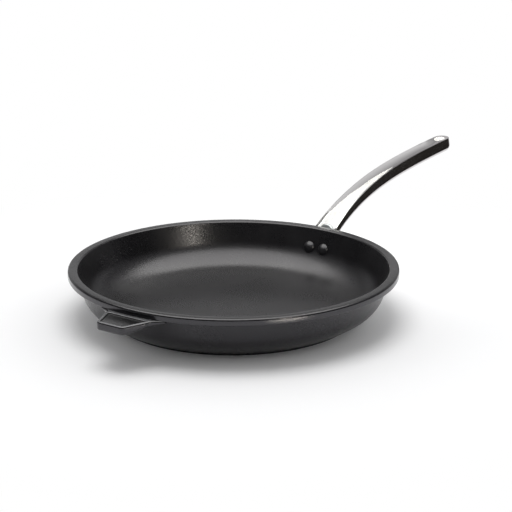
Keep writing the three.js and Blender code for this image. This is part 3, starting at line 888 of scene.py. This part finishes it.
def makeTurnedAluminium():
    # bare machined base with fine rings about the pan's axis
    f = baseFinish
    material, tree, shader = newMaterial("turnedAluminium")
    radius = axisDistance(tree, objectPlace(tree))
    scale = perMetre / f["lineWidth"]
    noise = addNode(tree, "ShaderNodeTexNoise", {"W": radius, "Scale": scale, "Detail": f["detail"]},
                    noise_dimensions="1D")
    cuts = noise.outputs["Fac"]
    marks = placeGroup(tree, handlingMarks, Size=f["marks"], Low=0.0, High=f["marksHigh"])
    blend = combine(tree, "SUBTRACT", cuts, marks.outputs["Mask"])
    tree.links.new(mixColours(tree, blend, f["dark"], f["light"]), shader.inputs["Base Color"])
    tree.links.new(mapRange(tree, cuts, *f["contrast"], *f["roughness"]), shader.inputs["Roughness"])
    shader.inputs["Metallic"].default_value = 1.0
    addBump(tree, shader, cuts, f["bump"], f["bumpDistance"])
    return material


coat, rivetCoat = makeCoat("nonStickCoat", coatFinish), makeCoat("rivetCoat", rivetFinish)
borderHighlightCoat = makeCoat("borderHighlightCoat", borderHighlightFinish)
steel, castSteel = makeSteel("polishedSteel", steelFinish), makeSteel("castSteel", castFinish)
whiteWallSteel, turnedBase = makeWhiteWallSteel(), makeTurnedAluminium()
print("finishes made")


# the pieces, each on its node

def dress(piece, node, slot, *materials):
    for material in materials:
        piece.data.materials.append(material)
    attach(piece, "root")
    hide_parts(node)
    return piece


def paintSecond(piece, isSecond):
    # the faces that pass the test take the piece's second material
    for face in piece.data.polygons:
        face.material_index = 1 if isSecond(face.center / mm, face.normal) else 0


paintSecond(dress(makePanShell(), "pan_body", "coated_casting", coat, turnedBase), isBase)
# the helper's raised border takes the paler coat, a painted highlight
paintSecond(dress(makeHelperHandle(), "pan_body", "coated_casting", coat, borderHighlightCoat), isBorderHighlight)
dress(makeMountingPad(), "pan_body", "coated_casting", coat)
print("pan made")
dress(makeRivet("rivetLeft", 1), "rivet_left", "coated_rivet", rivetCoat)
dress(makeRivet("rivetRight", -1), "rivet_right", "coated_rivet", rivetCoat)
# the slot and hole walls take the near-white painted reflection
paintSecond(dress(makeHandleBar(), "main_handle", "polished_steel", steel, whiteWallSteel), isOpeningWall)
dress(makeFlange(), "main_handle", "polished_steel", castSteel)
print("handle made")


# studio, in metres

toTheBack = (0.809, 0.588, 0.0)  # away from the camera
floorPlan = dict(size=6.0, level=-0.0003, colour=(0.92, 0.92, 0.925, 1), roughness=0.9, white=(0.2, 0.46))


def makeFloor():
    # pale near the pan, where its shadow lies, and pure white farther out
    f = floorPlan
    corners = [(x * f["size"], y * f["size"], f["level"]) for x, y in ((-1, -1), (1, -1), (1, 1), (-1, 1))]
    mesh = bpy.data.meshes.new("floor")
    mesh.from_pydata(corners, [], [(0, 1, 2, 3)])
    floor = bpy.data.objects.new("floor", mesh)
    scene.collection.objects.link(floor)
    material, tree, shader = newMaterial("paleFloor")
    shader.inputs["Base Color"].default_value = f["colour"]
    shader.inputs["Roughness"].default_value = f["roughness"]
    shader.inputs["Specular IOR Level"].default_value = 0.0
    far = addNode(tree, "ShaderNodeVectorMath", {0: objectPlace(tree)}, operation="LENGTH").outputs["Value"]
    white = mapRange(tree, far, *f["white"], kind="SMOOTHSTEP")
    path = addNode(tree, "ShaderNodeLightPath").outputs
    seen = combine(tree, "MAXIMUM", path["Is Camera Ray"], path["Is Glossy Ray"])
    seen = combine(tree, "MAXIMUM", seen, path["Is Transmission Ray"])
    glow = addNode(tree, "ShaderNodeEmission", {"Color": (1, 1, 1, 1), "Strength": 1.0})
    amount = combine(tree, "MULTIPLY", white, seen)
    blend = addNode(tree, "ShaderNodeMixShader", {0: amount, 1: shader.outputs[0], 2: glow.outputs[0]})
    tree.links.new(blend.outputs[0], tree.nodes["Material Output"].inputs["Surface"])
    mesh.materials.append(material)


# two ends of a direction, then the light at each
roomLight = dict(
    rise=(0.1, 0.24, 0.12, 0.68), fall=(0.29, 0.4, 1.0, 0.22), behind=(0.4, 0.85, 0.05, 1.0),
    high=(0.4, 0.52, 0.0, 1.0), ahead=(-0.5, -0.1, 0.08, 0.28),
    fillAround=(-0.9, -0.1, 0.2, 2.2), fillUp=(0.15, 0.7, 1.0, 0.3),
)


def makeWorld():
    # white to the camera, a soft fill on the floor, and a band of light behind the pan for what shines
    world = bpy.data.worlds.new("studioRoom")
    scene.world = world
    world.use_nodes = True
    tree, r = world.node_tree, roomLight
    way = addNode(tree, "ShaderNodeTexCoord").outputs["Generated"]
    up = addNode(tree, "ShaderNodeSeparateXYZ", {0: way}).outputs["Z"]
    back = addNode(tree, "ShaderNodeVectorMath", {0: way, 1: toTheBack}, operation="DOT_PRODUCT").outputs["Value"]
    low = combine(tree, "MULTIPLY", mapRange(tree, up, *r["rise"], "SMOOTHSTEP"),
                  mapRange(tree, up, *r["fall"], "SMOOTHSTEP"))
    horizon = combine(tree, "MULTIPLY", low, mapRange(tree, back, *r["behind"], "SMOOTHSTEP"))
    glow = combine(tree, "MULTIPLY", mapRange(tree, up, *r["high"]), mapRange(tree, back, *r["ahead"]))
    fill = combine(tree, "MULTIPLY", mapRange(tree, back, *r["fillAround"]), mapRange(tree, up, *r["fillUp"]))
    path = addNode(tree, "ShaderNodeLightPath").outputs
    mirrored = combine(tree, "MAXIMUM", horizon, glow)
    lit = addNode(tree, "ShaderNodeMix", {0: path["Is Glossy Ray"], 2: fill, 3: mirrored}, data_type="FLOAT")
    sky = tree.nodes["Background"]
    sky.inputs["Color"].default_value = (1, 1, 1, 1)
    tree.links.new(combine(tree, "MAXIMUM", lit.outputs[0], path["Is Camera Ray"]), sky.inputs["Strength"])


lampPlan = dict(
    overheadSoftbox=dict(at=(0.083, 0.159, 1.6), aim=(0.083, 0.159, 0), width=1.28, radiance=3.0, colour=(1, 1, 1)),
    overheadGloss=dict(at=(0.16, 0.118, 1.25), aim=(0.16, 0.118, 0), width=2.1, radiance=2.8, colour=(1, 1, 0.95)),
    warmSpot=dict(at=(-0.486, -1.461, 0.687), aim=(0, 0, 0.04), width=0.22, radiance=24, colour=(1.0, 0.95, 0.82)),
)
kickerPlan = dict(
    at=(-1.45, -1.25, 0.86), aim=(0.28, 0, 0.085), angle=math.radians(9), blend=0.4, radius=0.05, power=95,
)


def placeLamp(name, data, at, aim):
    lamp = bpy.data.objects.new(name, data)
    lamp.location = at
    lamp.rotation_euler = (Vector(aim) - Vector(at)).to_track_quat("-Z", "Y").to_euler()
    scene.collection.objects.link(lamp)
    return lamp


def makeLamp(name):
    p = lampPlan[name]
    data = bpy.data.lights.new(name, "AREA")
    data.shape = "ELLIPSE"
    data.size = data.size_y = p["width"]
    area = math.pi * p["width"] ** 2 / 4
    data.energy = p["radiance"] * math.pi * area
    data.color = p["colour"]
    return placeLamp(name, data, p["at"], p["aim"])


def makeKicker():
    # a narrow beam on the handle, which lights the walls of its slot and hole
    p = kickerPlan
    data = bpy.data.lights.new("handleKicker", "SPOT")
    data.spot_size, data.spot_blend, data.shadow_soft_size = p["angle"], p["blend"], p["radius"]
    data.energy = p["power"]
    return placeLamp("handleKicker", data, p["at"], p["aim"])


def makeLamps():
    softbox, gloss, spot = makeLamp("overheadSoftbox"), makeLamp("overheadGloss"), makeLamp("warmSpot")
    kicker = makeKicker()
    softbox.visible_glossy = kicker.visible_glossy = gloss.visible_diffuse = spot.visible_diffuse = False


def makeCard(name, corners, colour, glow=0.0):
    # a card that is seen only in a polish
    mesh = bpy.data.meshes.new(name)
    mesh.from_pydata(corners, [], [tuple(range(len(corners)))])
    card = bpy.data.objects.new(name, mesh)
    scene.collection.objects.link(card)
    material, tree, shader = newMaterial(name)
    shader.inputs["Base Color"].default_value = (0, 0, 0, 1)
    shader.inputs["Emission Color"].default_value = colour
    shader.inputs["Emission Strength"].default_value = glow
    shader.inputs["Roughness"].default_value = 1.0
    shader.inputs["Specular IOR Level"].default_value = 0.0
    mesh.materials.append(material)
    card.visible_camera = card.visible_diffuse = card.visible_shadow = card.visible_transmission = False
    return tree, shader


sideCard = dict(
    outline=((0.185, 0.01), (0.6, 0.035), (0.6, 0.115), (0.4, 0.108), (0.3, 0.093), (0.22, 0.068), (0.185, 0.05)),
    y=-0.035, colour=(1.0, 0.9, 0.82, 1), glow=0.02,
)


def makeSideCard():
    # dark, beside the handle
    c = sideCard
    makeCard("sideCard", [(x, c["y"], z) for x, z in c["outline"]], c["colour"], c["glow"])


handleReflector = dict(
    outline=((0.2, -0.058), (0.95, -0.058), (0.95, 0.45), (0.72, 0.45), (0.42, 0.16), (0.25, 0.02), (0.2, -0.02)),
    level=0.074, tilt=0.33, colour=(1.0, 0.99, 1.0, 1),
    near=(-0.055, 0.0, 0.32, 0.0), far=(0.0, 0.1, 0.46, 0.28),
    beyondAlong=(0.49, 0.56), beyondAcross=(0.08, 0.14), beyondGlow=0.2,
)


def makeHandleReflector():
    # hangs over the handle, brighter on the right
    c = handleReflector
    corners = [(x, y, c["level"] + c["tilt"] * (toTheBack[0] * x + toTheBack[1] * y)) for x, y in c["outline"]]
    tree, shader = makeCard("handleReflector", corners, c["colour"])
    split = addNode(tree, "ShaderNodeSeparateXYZ", {0: objectPlace(tree)})
    along, across = split.outputs["X"], split.outputs["Y"]
    side = combine(tree, "ADD", mapRange(tree, across, *c["near"]), mapRange(tree, across, *c["far"]))
    end, edge = mapRange(tree, along, *c["beyondAlong"]), mapRange(tree, across, *c["beyondAcross"])
    glow = combine(tree, "MULTIPLY_ADD", combine(tree, "MULTIPLY", end, edge), c["beyondGlow"], side)
    tree.links.new(glow, shader.inputs["Emission Strength"])


tableGlint = dict(
    at=(-0.137, -0.271, 0.001), turn=math.radians(-23), half=(0.055, 0.016), steps=24,
    colour=(1.0, 0.95, 0.82, 1), glow=14.0,
)


def makeTableGlint():
    # the spot, mirrored in the table
    c = tableGlint
    place = Matrix.Translation(c["at"]) @ Matrix.Rotation(c["turn"], 4, "Z")
    angles = evenly(0, 2 * math.pi, c["steps"])[:-1]
    corners = [place @ Vector((c["half"][0] * math.cos(a), c["half"][1] * math.sin(a), 0)) for a in angles]
    makeCard("tableGlint", corners, c["colour"], c["glow"])


photoView = dict(
    lens=140.625, sensor=36, far=20, at=(-1.49077, -1.08311, 0.63489), turn=(72.6412, 0.0791, -54.6965),
)


def makeCamera():
    v = photoView
    data = bpy.data.cameras.new("photoCamera")
    data.lens, data.sensor_width, data.clip_end = v["lens"], v["sensor"], v["far"]
    camera = bpy.data.objects.new("photoCamera", data)
    camera.location = v["at"]
    camera.rotation_euler = tuple(math.radians(a) for a in v["turn"])
    scene.collection.objects.link(camera)
    scene.camera = camera


makeFloor()
makeWorld()
makeLamps()
makeSideCard()
makeHandleReflector()
makeTableGlint()
makeCamera()
scene.view_settings.view_transform = "Standard"
print("studio set")
